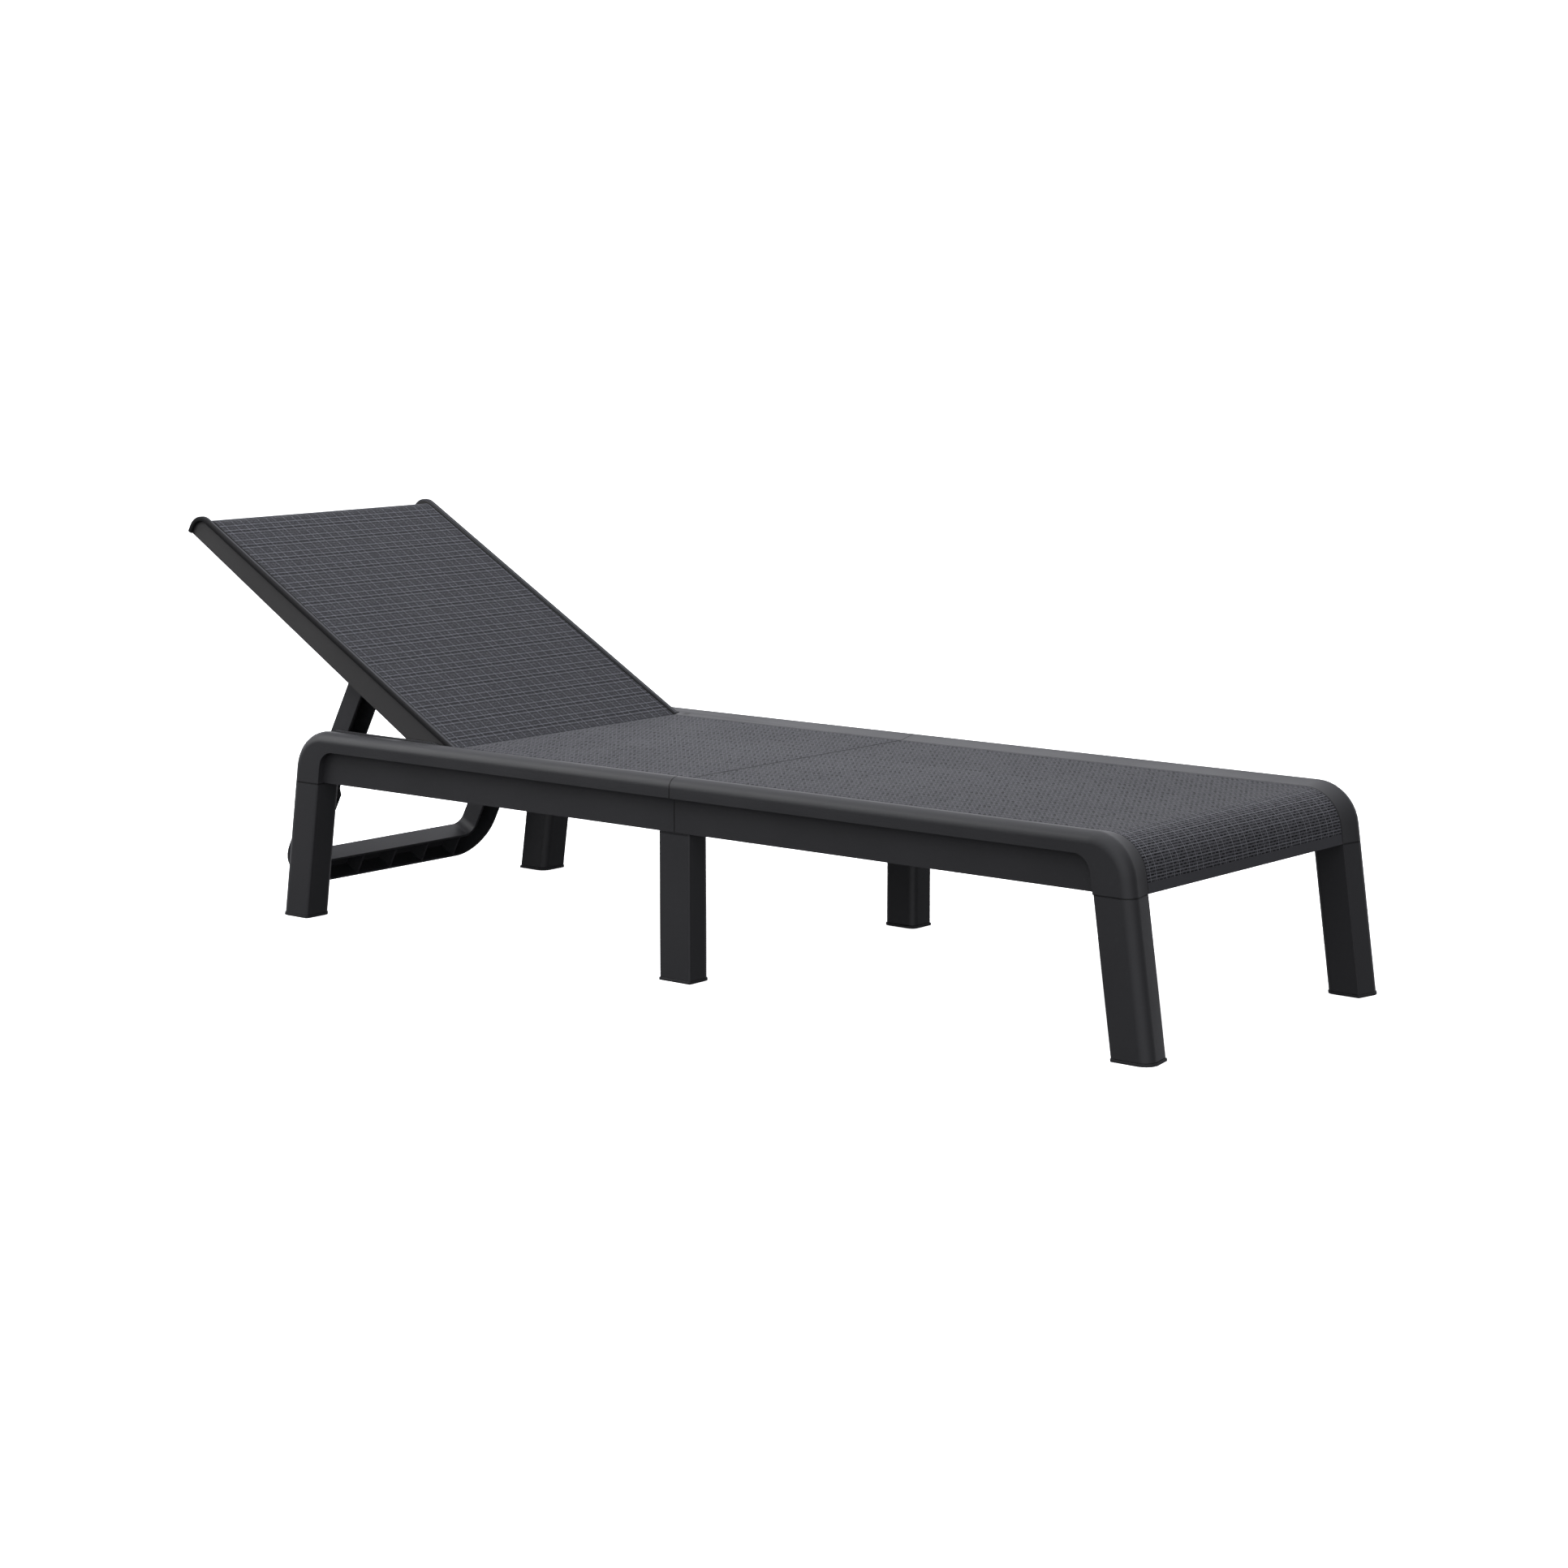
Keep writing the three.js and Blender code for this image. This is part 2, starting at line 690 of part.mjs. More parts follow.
// Foot cap: a thin proud lip under the leg with a plug that grips inside it
function footCap(outline, lean) {
  const lip = alongZ(outline(-capProud), 0, capLip, lean);
  const plug = alongZ(outline(legWall + fitGap), capLip - fitGap, capPlug, lean);
  const dish = alongZ(outline(2 * legWall), capLip, capPlug + overrun, lean);
  return cut(lip.add(plug), [dish]);
}

// Backrest outline from the side, laid flat, with its hinge axis at zero
function backrestProfile(tip, depthAtTip) {
  const shape = new THREE.Shape();
  shape.moveTo(0, noseRadius);
  shape.lineTo(-tip + tipRadius, noseRadius);
  shape.absarc(-tip + tipRadius, noseRadius - tipRadius, tipRadius, Math.PI / 2, Math.PI, false);
  shape.lineTo(-tip, noseRadius - depthAtTip);
  shape.lineTo(0, noseRadius - hingeEndDepth);
  shape.absellipse(0, 0, noseRadius, hingeEndDepth - noseRadius, -Math.PI / 2, 0, false);
  shape.absarc(0, 0, noseRadius, 0, Math.PI / 2, false);
  return shape;
}

function backrestCavityProfile() {
  const radius = noseRadius - skin;
  const floor = noseRadius - hingeEndDepth - overrun;
  const shape = new THREE.Shape();
  shape.moveTo(0, radius);
  shape.lineTo(-panelTip + tipRadius, radius);
  shape.absarc(-panelTip + tipRadius, noseRadius - tipRadius, tipRadius - skin,
    Math.PI / 2, Math.PI, false);
  shape.lineTo(-panelTip + skin, floor);
  shape.lineTo(radius, floor);
  shape.lineTo(radius, 0);
  shape.absarc(0, 0, radius, 0, Math.PI / 2, false);
  return shape;
}

function backrestHalfWidthAt(reach) {
  return hingeHalfWidth + (tipHalfWidth - hingeHalfWidth) * reach / railTip;
}

// Backrest outline from above, narrowing to the tip, moved in by an inset
function backrestPlan(inset, from, to) {
  return [
    [-from, backrestHalfWidthAt(from) - inset], [-to, backrestHalfWidthAt(to) - inset],
    [-to, inset - backrestHalfWidthAt(to)], [-from, inset - backrestHalfWidthAt(from)],
  ];
}

const propBracketFaces = [
  propHalfWidth - propArmWidth - runningGap - skin,
  propHalfWidth + runningGap,
];

function backrest() {
  const depth = hingeEndDepth + overrun;
  const zRange = [-depth, noseRadius + overrun];
  const wide = hingeHalfWidth + overrun;
  const nose = -noseRadius - overrun;
  const plan = (inset, to) => alongZ(backrestPlan(inset, nose, to), ...zRange);
  const inner = plan(railThickness, railTip + overrun);
  const rails = alongY(backrestProfile(railTip, tipEndDepth), -wide, wide)
    .intersect(plan(0, railTip + overrun)).subtract(inner);
  const cavity = alongY(backrestCavityProfile(), -wide, wide).intersect(inner);
  const panel = alongY(backrestProfile(panelTip, tipEndDepth), -wide, wide)
    .intersect(plan(railThickness - fitGap, railTip + overrun)).subtract(cavity);
  const ribTop = noseRadius - skin / 2;
  const ribBottom = noseRadius - deckRibDepth + skin;
  const ribHalf = propBracketFaces[0];
  const ribs = [];
  const ribEnd = panelTip - tipRadius;
  for (let index = 0; index <= backRibsAcross; index += 1) {
    const x = -noseRadius - (ribEnd - noseRadius) * index / backRibsAcross;
    ribs.push(block([x - ribThickness / 2, x + ribThickness / 2],
      [-ribHalf, ribHalf], [ribBottom, ribTop]));
  }
  for (const share of backRibShares) {
    const y = share * ribHalf;
    ribs.push(block([-ribEnd, 0], [y - ribThickness / 2, y + ribThickness / 2], [ribBottom, ribTop]));
  }
  const brackets = [-1, 1].flatMap((side) => propBracketFaces.map((face) => {
    const shape = new THREE.Shape();
    shape.moveTo(propPivotX + bracketRun, ribTop);
    shape.lineTo(propPivotX - bracketRun, ribTop);
    shape.absarc(propPivotX, propPivotZ, bossRadius, Math.PI, 2 * Math.PI, false);
    return alongY(shape, side * face, side * (face + skin));
  }));
  const hingeBosses = [-1, 1].map((side) => {
    const railInside = backrestHalfWidthAt(0) - railThickness;
    return barY(bossRadius, 0, 0, side * (railInside - skin), side * (railInside + railThickness / 2));
  });
  const grooves = [-1, 1].map((side) => {
    const edge = (reach, inset) => side * (backrestHalfWidthAt(reach) - railThickness - inset);
    const outline = [
      [noseRadius + overrun, edge(-noseRadius - overrun, 0)],
      [-panelTip - overrun, edge(panelTip + overrun, 0)],
      [-panelTip - overrun, edge(panelTip + overrun, grooveWidth)],
      [noseRadius + overrun, edge(-noseRadius - overrun, grooveWidth)],
    ];
    return alongZ(outline, noseRadius - grooveDepth, noseRadius + overrun);
  });
  const holes = [-1, 1].flatMap((side) => [
    barY(hingeHole, 0, 0, side * propBracketFaces[1], side * wide, smallSides),
    barY(hingeHole, propPivotX, propPivotZ, side * (propBracketFaces[0] - fitGap),
      side * (propBracketFaces[1] + skin + fitGap), smallSides),
  ]);
  return cut(join([rails, panel, ...ribs, ...brackets, ...hingeBosses]), [...grooves, ...holes]);
}

// Folding prop: a U of channel section, hanging from its pivot, its open side to the foot end
function propOutline(inset) {
  const half = propHalfWidth - inset;
  const innerHalf = propHalfWidth - propArmWidth + inset;
  const bottom = -propLength + inset;
  const innerBottom = -propLength + propCrossWidth - inset;
  const top = propThickness;
  const outer = propOuterRadius - inset;
  const innerRadius = propInnerRadius + inset;
  const shape = new THREE.Shape();
  shape.moveTo(-half, top);
  shape.lineTo(-half, bottom + outer);
  shape.absarc(-half + outer, bottom + outer, outer, Math.PI, 1.5 * Math.PI, false);
  shape.lineTo(half - outer, bottom);
  shape.absarc(half - outer, bottom + outer, outer, 1.5 * Math.PI, 2 * Math.PI, false);
  shape.lineTo(half, top);
  shape.lineTo(innerHalf, top);
  shape.lineTo(innerHalf, innerBottom + innerRadius);
  shape.absarc(innerHalf - innerRadius, innerBottom + innerRadius, innerRadius, 0, -Math.PI / 2, true);
  shape.lineTo(-innerHalf + innerRadius, innerBottom);
  shape.absarc(-innerHalf + innerRadius, innerBottom + innerRadius, innerRadius,
    1.5 * Math.PI, Math.PI, true);
  shape.lineTo(-innerHalf, top);
  return shape;
}

// Notch for the tube: round at its bottom, with flanks that open towards the foot end
function propNotch(place) {
  const radius = restTubeRadius + fitGap;
  const flank = radians(notchFlankAngle);
  const run = propThickness;
  const shape = new THREE.Shape();
  const start = new THREE.Vector2(-Math.sin(flank), Math.cos(flank)).multiplyScalar(radius);
  shape.moveTo(place.x + start.x + run * Math.cos(flank), place.z + start.y + run * Math.sin(flank));
  shape.lineTo(place.x + start.x, place.z + start.y);
  shape.absarc(place.x, place.z, radius, Math.PI / 2 + flank, 1.5 * Math.PI - flank, false);
  shape.lineTo(place.x + start.x + run * Math.cos(flank), place.z - start.y - run * Math.sin(flank));
  return alongY(shape, -propHalfWidth - overrun, propHalfWidth + overrun);
}

function prop() {
  const half = propThickness / 2;
  const side = new THREE.Shape();
  side.moveTo(-half, -propLength - overrun);
  side.lineTo(half, -propLength - overrun);
  side.lineTo(half, 0);
  side.absarc(0, 0, half, 0, Math.PI, false);
  const body = alongX(propOutline(0), -half, half).intersect(
    alongY(side, -propHalfWidth - overrun, propHalfWidth + overrun));
  const places = notchStops.map(tubeInProp);
  const pads = places.map(({ z }) => [z - padBelow, z + padAbove]);
  const pocketEnd = -propLength + propCrossWidth / 2;
  const arm = (from, to) => block([-half + propWall, half + overrun],
    [-propHalfWidth - overrun, propHalfWidth + overrun], [to, from]);
  const solidZones = [
    arm(propThickness, -propThickness / 2),
    ...pads.map(([low, high]) => arm(high, low)),
  ];
  const rackStep = block([half - rackSetback, half + overrun],
    [-propHalfWidth - overrun, propHalfWidth + overrun],
    [pads[pads.length - 1][0], pads[0][0]]);
  const crossRibs = evenly(-propHalfWidth, propHalfWidth, propRibs).map((y) => block(
    [-half, half + overrun], [y - ribThickness / 2, y + ribThickness / 2],
    [-propLength, pocketEnd + propCrossWidth / 2]));
  const pocket = cut(alongX(propOutline(propWall), -half + propWall, half + overrun),
    [...solidZones, ...crossRibs]);
  const pivotHole = barY(hingeHole, 0, 0, -propHalfWidth - overrun, propHalfWidth + overrun, smallSides);
  return cut(body, [pocket, rackStep, pivotHole, ...places.map(propNotch)]);
}

// A headed pin along Y, drawn from its head face inwards or outwards
function headedPin(x, z, headFrom, headTo, shankTo) {
  return barY(pinHeadRadius, x, z, headFrom, headTo, smallSides)
    .add(barY(pinRadius, x, z, headFrom, shankTo, smallSides));
}

function restTube() {
  const half = deckHalfWidth + skin;
  const outer = barY(restTubeRadius, -restTubeFromSeam, restTubeHeight, -half, half);
  const bore = barY(restTubeRadius - restTubeWall, -restTubeFromSeam, restTubeHeight,
    -half - overrun, half + overrun);
  return outer.subtract(bore);
}

function seamBolt(share) {
  const y = share * deckHalfWidth;
  const face = seamGap / 2 + skin + fitGap;
  return barX(boltHeadRadius, y, boltHeight, face, face + boltHeadThickness, boltHeadSides)
    .add(barX(boltRadius, y, boltHeight, -face - boltReach, face));
}

function seamNut(share) {
  const y = share * deckHalfWidth;
  const face = -seamGap / 2 - skin - fitGap;
  return barX(boltHeadRadius, y, boltHeight, face - boltHeadThickness, face, boltHeadSides)
    .subtract(barX(boltRadius + fitGap, y, boltHeight, face - boltReach, face + overrun));
}

function legScrew(place) {
  return onScrewAxis(place, screwHeadRadius, -fitGap - screwHeadThickness, -fitGap)
    .add(onScrewAxis(place, screwRadius, -fitGap - screwHeadThickness, screwLength));
}

// Assembly: the frame stands still, the backrest turns about its hinge and carries the prop
const lounger = new THREE.Group();
const frame = new THREE.Group();
lounger.add(frame);
frame.add(mesh('foot_half_frame', footHalf(), graphite));
frame.add(mesh('head_half_frame', headHalf(), graphite));

for (const [end, facing] of [['foot', 1], ['head', -1]]) {
  for (const [hand, side] of [['right', -1], ['left', 1]]) {
    frame.add(mesh(`${end}_leg_${hand}`, cornerLeg(facing, side), graphite));
    const outline = (inset) => cornerLegOutline(facing, side, inset);
    frame.add(mesh(`${end}_leg_cap_${hand}`, footCap(outline, -facing * splay), rubber));
  }
}

for (const [hand, side] of [['right', -1], ['left', 1]]) {
  frame.add(mesh(`middle_leg_${hand}`, middleLeg(side), graphite));
  frame.add(mesh(`middle_leg_cap_${hand}`, footCap((inset) => middleLegOutline(side, inset), 0), rubber));
  const head = side * (backrestHalfWidthAt(0) - railThickness - skin - fitGap);
  frame.add(mesh(`hinge_pin_${hand}`, headedPin(hingeX, hingeZ, head - side * pinHeadThickness, head,
    side * (wellHalfWidth + bossDepth)), steel));
}

frame.add(mesh('prop_rest_tube', restTube(), aluminium));
boltPlaceShares.forEach((share, index) => {
  frame.add(mesh(`seam_bolt_${index + 1}`, seamBolt(share), steel));
  frame.add(mesh(`seam_nut_${index + 1}`, seamNut(share), steel));
});
legScrewPlaces().forEach((place, index) => {
  frame.add(mesh(`leg_screw_${index + 1}`, legScrew(place), steel));
});

const back = new THREE.Group();
back.position.set(hingeX, 0, hingeZ);
back.rotation.y = radians(backrestAngle);
lounger.add(back);
back.add(mesh('backrest', backrest(), graphiteWeave));

const propGroup = new THREE.Group();
propGroup.position.set(propPivotX, 0, propPivotZ);
propGroup.rotation.y = propLean;
back.add(propGroup);
propGroup.add(mesh('backrest_prop', prop(), graphite));
for (const [hand, side] of [['right', -1], ['left', 1]]) {
  const head = side * (propHalfWidth + skin + runningGap + fitGap);
  propGroup.add(mesh(`prop_pivot_pin_${hand}`, headedPin(0, 0, head + side * pinHeadThickness, head,
    side * (propHalfWidth - propArmWidth - skin - runningGap)), steel));
}

// The origin is on the floor under the middle of the whole lounger
lounger.updateMatrixWorld(true);
const bounds = new THREE.Box3().setFromObject(lounger, true);
lounger.position.x = -(bounds.min.x + bounds.max.x) / 2;

export default lounger;
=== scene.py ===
import math

import bpy
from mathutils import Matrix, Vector


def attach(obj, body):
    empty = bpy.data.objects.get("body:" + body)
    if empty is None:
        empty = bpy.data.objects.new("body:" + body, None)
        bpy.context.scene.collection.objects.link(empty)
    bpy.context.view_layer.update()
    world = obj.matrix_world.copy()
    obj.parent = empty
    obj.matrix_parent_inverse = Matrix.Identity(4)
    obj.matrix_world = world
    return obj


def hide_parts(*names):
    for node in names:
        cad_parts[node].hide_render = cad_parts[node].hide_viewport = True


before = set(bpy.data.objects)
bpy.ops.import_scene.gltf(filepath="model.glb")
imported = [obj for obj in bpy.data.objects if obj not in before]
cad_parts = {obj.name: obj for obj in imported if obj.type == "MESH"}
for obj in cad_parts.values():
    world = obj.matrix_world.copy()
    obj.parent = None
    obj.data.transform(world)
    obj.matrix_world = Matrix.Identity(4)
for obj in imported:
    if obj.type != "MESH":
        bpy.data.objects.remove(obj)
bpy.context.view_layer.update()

# The camera stands off the foot end, a metre above the floor, and looks back along the
# lounger's right side, nine degrees down, through a long lens.
camera_data = bpy.data.cameras.new("camera")
camera_data.lens = 79.72
camera_data.sensor_width = 36
camera_data.clip_end = 200
camera = bpy.data.objects.new("camera", camera_data)
camera.location = (3.2737, -3.8659, 1.0260)
camera.rotation_euler = (math.radians(90 - 8.86), 0, math.radians(39.5))
bpy.context.scene.collection.objects.link(camera)
bpy.context.scene.camera = camera
bpy.context.scene.view_settings.view_transform = "Standard"

# The studio is a white floor inside a round white wall. Both are lit but throw no light
# back, so the undersides stay as dark as in the open.
bpy.ops.mesh.primitive_plane_add(size=160, location=(0, 0, 0))
floor = bpy.context.object
floor.name = "studio_floor"
bpy.ops.mesh.primitive_cylinder_add(vertices=96, radius=76, depth=110, end_fill_type="NOTHING",
                                    location=(0, 0, 54))
wall = bpy.context.object
wall.name = "studio_wall"
wall.visible_shadow = False
for stage in (floor, wall):
    stage.visible_diffuse = False
    stage.visible_glossy = False

studio_paint = bpy.data.materials.new("studio_paint")
studio_paint.use_nodes = True
paint_shader = studio_paint.node_tree.nodes["Principled BSDF"]
paint_shader.inputs["Base Color"].default_value = (0.96, 0.96, 0.96, 1)
paint_shader.inputs["Roughness"].default_value = 0.9
paint_shader.inputs["Specular IOR Level"].default_value = 0.1
paint_shader.inputs["Emission Color"].default_value = (1, 1, 1, 1)
paint_shader.inputs["Emission Strength"].default_value = 1.0
floor.data.materials.append(studio_paint)
wall.data.materials.append(studio_paint)

# The light of the room behind the wall comes from above, from the camera's side and, low
# down, from the far side. Little comes from the other sides, and least from below.
sky = bpy.data.worlds.new("studio_sky")
bpy.context.scene.world = sky
sky.use_nodes = True
sky_nodes = sky.node_tree.nodes
sky_links = sky.node_tree.links
sky_way = sky_nodes.new("ShaderNodeTexCoord").outputs["Generated"]


def sky_ramp(way, start, end, low, high):
    lean = sky_nodes.new("ShaderNodeVectorMath")
    lean.operation = "DOT_PRODUCT"
    lean.inputs[1].default_value = way
    sky_links.new(sky_way, lean.inputs[0])
    step = sky_nodes.new("ShaderNodeMapRange")
    step.interpolation_type = "SMOOTHSTEP"
    for name, number in (("From Min", start), ("From Max", end), ("To Min", low), ("To Max", high)):
        step.inputs[name].default_value = number
    sky_links.new(lean.outputs["Value"], step.inputs["Value"])
    return step.outputs["Result"]


def sky_math(operation, first, second):
    node = sky_nodes.new("ShaderNodeMath")
    node.operation = operation
    sky_links.new(first, node.inputs[0])
    sky_links.new(second, node.inputs[1])
    return node.outputs[0]


above = sky_ramp((0, 0, 1), 0.4, 1.0, 0.0, 0.85)
front = sky_ramp((0.65, -0.76, 0.1), 0.45, 1.0, 0.0, 0.85)
behind = sky_ramp((-0.63, 0.77, 0), 0.2, 0.95, 0.17, 1.0)
below = sky_ramp((0, 0, 1), -0.45, 0.02, 0.12, 1.0)
low_down = sky_ramp((0, 0, 1), 0.25, 0.65, 1.0, 0.55)
glow = sky_math("ADD", sky_math("ADD", front, sky_math("MULTIPLY", behind, low_down)), above)
glow = sky_math("MULTIPLY", glow, below)
sky_nodes["Background"].inputs["Color"].default_value = (0.945, 0.95, 1, 1)
sky_links.new(glow, sky_nodes["Background"].inputs["Strength"])

# Two softboxes add to it: a wide one overhead that nothing mirrors, and the key light off
# the head end, which the rounded rims mirror.
bpy.ops.object.light_add(type="AREA", location=(-1.8, -0.3, 2.8))
overhead = bpy.context.object
overhead.name = "overhead_softbox"
overhead.data.shape = "RECTANGLE"
overhead.data.size = 4.5
overhead.data.size_y = 3.5
overhead.data.energy = 150
overhead.data.color = (0.955, 0.96, 1)
overhead.visible_glossy = False

bpy.ops.object.light_add(type="AREA", location=(-3.0, -2.2, 2.2))
key = bpy.context.object
key.name = "head_end_softbox"
key.data.size = 3.0
key.data.energy = 53
key.rotation_euler = Vector((2.2, 2.2, -2.2)).to_track_quat("-Z", "Y").to_euler()


# The frame is two mouldings of graphite resin, coloured through and bolted together at the
# seam. Their smooth faces carry a fine grain from the mould, and colour and sheen drift a
# little over a face.
class Recipe:
    def __init__(self, name):
        self.material = bpy.data.materials.new(name)
        self.material.use_nodes = True
        self.nodes = self.material.node_tree.nodes
        self.links = self.material.node_tree.links
        self.shader = self.nodes["Principled BSDF"]
        self.place = self.nodes.new("ShaderNodeTexCoord").outputs["Object"]

    def put(self, value, socket):
        if isinstance(value, bpy.types.NodeSocket):
            self.links.new(value, socket)
        else:
            socket.default_value = value

    def math(self, operation, *values):
        node = self.nodes.new("ShaderNodeMath")
        node.operation = operation
        for value, socket in zip(values, node.inputs):
            self.put(value, socket)
        return node.outputs[0]

    def times(self, *values):
        found = values[0]
        for value in values[1:]:
            found = self.math("MULTIPLY", found, value)
        return found

    def most(self, *values):
        found = values[0]
        for value in values[1:]:
            found = self.math("MAXIMUM", found, value)
        return found

    def less(self, value):
        return self.math("SUBTRACT", 1.0, value)

    def ramp(self, value, start, end, low=0.0, high=1.0):
        node = self.nodes.new("ShaderNodeMapRange")
        node.interpolation_type = "SMOOTHSTEP"
        for number, name in ((value, "Value"), (start, "From Min"), (end, "From Max"),
                             (low, "To Min"), (high, "To Max")):
            self.put(number, node.inputs[name])
        return node.outputs["Result"]

    # 1 within a half width of a place, 0 beyond the soft edge
    def line(self, value, place, half, soft):
        distance = self.math("ABSOLUTE", self.math("SUBTRACT", value, place))
        return self.ramp(distance, half, half + soft, 1.0, 0.0)

    # The same for places that come back at every repeat
    def lines(self, value, repeat, places, half, soft):
        found = []
        for place in places:
            distance = self.math("PINGPONG", self.math("SUBTRACT", value, place), repeat / 2)
            found.append(self.ramp(distance, half, half + soft, 1.0, 0.0))
        return self.most(*found)

    def number(self, value, place, pitch):
        return self.math("ROUND", self.math("DIVIDE", self.math("SUBTRACT", value, place), pitch))

    def noise(self, scale, detail=2):
        node = self.nodes.new("ShaderNodeTexNoise")
        node.inputs["Scale"].default_value = scale
        node.inputs["Detail"].default_value = detail
        self.links.new(self.place, node.inputs["Vector"])
        return node.outputs["Fac"]

    def dice(self, first, second):
        pair = self.nodes.new("ShaderNodeCombineXYZ")
        self.put(first, pair.inputs["X"])
        self.put(second, pair.inputs["Y"])
        node = self.nodes.new("ShaderNodeTexWhiteNoise")
        node.noise_dimensions = "2D"
        self.links.new(pair.outputs["Vector"], node.inputs["Vector"])
        return node.outputs["Value"]

    def mix(self, amount, first, second):
        node = self.nodes.new("ShaderNodeMix")
        node.data_type = "RGBA"
        self.put(amount, node.inputs["Factor"])
        for value, socket in ((first, node.inputs["A"]), (second, node.inputs["B"])):
            self.put((*value, 1) if isinstance(value, tuple) else value, socket)
        return node.outputs["Result"]

    def axes(self, vector):
        node = self.nodes.new("ShaderNodeSeparateXYZ")
        self.links.new(vector, node.inputs["Vector"])
        return node.outputs

    # Base colour with drift and scuffs, roughness with drift, and the mould's grain
    def resin(self, colour, roughness, gloss):
        drift = self.noise(7, 4)
        scuff = self.ramp(self.noise(130, 3), 0.62, 0.72)
        tint = self.mix(drift, tuple(c * 0.93 for c in colour), tuple(c * 1.07 for c in colour))
        self.tint = self.mix(self.times(scuff, 0.12), tint, tuple(c * 1.6 for c in colour))
        rough = self.ramp(drift, 0.3, 0.7, roughness - 0.03, roughness + 0.03)
        self.shader.inputs["Specular IOR Level"].default_value = gloss
        self.links.new(rough, self.shader.inputs["Roughness"])
        self.grain = self.noise(1500, 2)
        return self

    def finish(self, tint, height, depth):
        bump = self.nodes.new("ShaderNodeBump")
        bump.inputs["Strength"].default_value = 1.0
        bump.inputs["Distance"].default_value = depth
        self.put(height, bump.inputs["Height"])
        self.links.new(bump.outputs["Normal"], self.shader.inputs["Normal"])
        self.put(tint, self.shader.inputs["Base Color"])
        return self.material


def shade(colour, share):
    return tuple(c * share for c in colour)


def moulding(name, node, body, edge=0.0006):
    bpy.ops.object.select_all(action="DESELECT")
    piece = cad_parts[node].copy()
    piece.data = piece.data.copy()
    piece.name = name
    piece.parent = None
    for mark in list(piece.keys()):
        del piece[mark]
    bpy.context.scene.collection.objects.link(piece)
    piece.select_set(True)
    bpy.context.view_layer.objects.active = piece
    bpy.ops.object.mode_set(mode="EDIT")
    bpy.ops.mesh.select_all(action="SELECT")
    bpy.ops.mesh.remove_doubles(threshold=0.00001)
    bpy.ops.mesh.dissolve_limited(angle_limit=math.radians(0.5))
    bpy.ops.object.mode_set(mode="OBJECT")
    eased = piece.modifiers.new("eased_edges", "BEVEL")
    eased.width = edge
    eased.segments = 2
    eased.limit_method = "ANGLE"
    eased.angle_limit = math.radians(32)
    bpy.ops.object.modifier_apply(modifier=eased.name)
    bpy.ops.object.shade_smooth_by_angle(angle=math.radians(32))
    even = piece.modifiers.new("even_faces", "WEIGHTED_NORMAL")
    even.keep_sharp = True
    bpy.ops.object.modifier_apply(modifier=even.name)
    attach(piece, body)
    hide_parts(node)
    return piece


# The woven faces are chosen by place, and take the second of two finishes
def dress(piece, smooth, woven=None, is_woven=None):
    piece.data.materials.clear()
    piece.data.materials.append(smooth)
    if woven is None:
        return
    piece.data.materials.append(woven)
    for face in piece.data.polygons:
        face.material_index = 1 if is_woven(face.center, face.normal) else 0


def lay_sheet(piece, unroll):
    layer = piece.data.uv_layers.new(name="sheet")
    for loop in piece.data.loops:
        point = piece.data.vertices[loop.vertex_index].co
        layer.data[loop.index].uv = (unroll(point.x, point.z), point.y)


# The deck is level up to the foot corner, rolls over it, and leans out to its lower edge.
# Its pattern is laid on it as a sheet, by the way along it and the way across.
deck_level = 0.2859
corner_x = 0.820526
corner_z = 0.2272
deck_radius = 0.0587
lean = math.radians(8.286)
deck_half_width = 0.2388
seam_x = 0.1178


def along_deck(x, z):
    if x <= corner_x:
        return x
    turn = math.atan2(x - corner_x, z - corner_z)
    last = math.pi / 2 - lean
    if turn <= last:
        return corner_x + deck_radius * turn
    foot = corner_z + deck_radius * math.cos(last)
    return corner_x + deck_radius * last + (foot - z) / math.cos(lean)


def on_deck(place, facing):
    if abs(place.y) > deck_half_width + 0.003:
        return False
    if place.x <= corner_x:
        return facing.z > 0.99 and abs(place.z - deck_level) < 0.0012
    outward = Vector((place.x - corner_x, 0, place.z - corner_z))
    if place.z < corner_z:
        outward = Vector((1, 0, math.tan(lean)))
        return place.x > corner_x + 0.05 and facing.dot(outward.normalized()) > 0.97
    return outward.length > deck_radius - 0.0015 and facing.dot(outward.normalized()) > 0.97


# Painted shade on the rim: dark lines in the seam, in the groove beside the deck down to the
# joint with the leg and in that joint, and a dark patch for the small notch beside the hinge, which is not
# cut.
graphite = (0.0350, 0.0353, 0.0372)
groove_y = deck_half_width + 0.0012
joint_z = 0.2115
notch_x = -0.3185
notch_y = 0.2485
rim = Recipe("frame_resin").resin(graphite, 0.40, 0.38)
x, y, z = rim.axes(rim.place)
side = rim.math("ABSOLUTE", y)
seam_shade = rim.line(x, seam_x, 0.0007, 0.0004)
groove_shade = rim.line(side, groove_y, 0.0006, 0.0007)
groove_shade = rim.times(groove_shade, rim.ramp(z, joint_z - 0.0065, joint_z + 0.0035))
joint_shade = rim.line(z, joint_z, 0.0008, 0.0005)
notch_shade = rim.times(rim.line(x, notch_x, 0.0055, 0.001), rim.line(side, notch_y, 0.0045, 0.001),
                  rim.ramp(z, deck_level - 0.0059, deck_level - 0.0019))
# The seam, groove and joint lines and the notch are painted shade, darker than the resin.
tint = rim.mix(rim.times(rim.most(seam_shade, groove_shade, joint_shade), 0.85), rim.tint, shade(graphite, 0.12))
tint = rim.mix(notch_shade, tint, shade(graphite, 0.03))
height = rim.math("MULTIPLY_ADD", rim.grain, 0.06, rim.times(rim.most(rim.times(seam_shade, 0.4), groove_shade), -1.0))
rim_resin = rim.finish(tint, height, 0.0006)

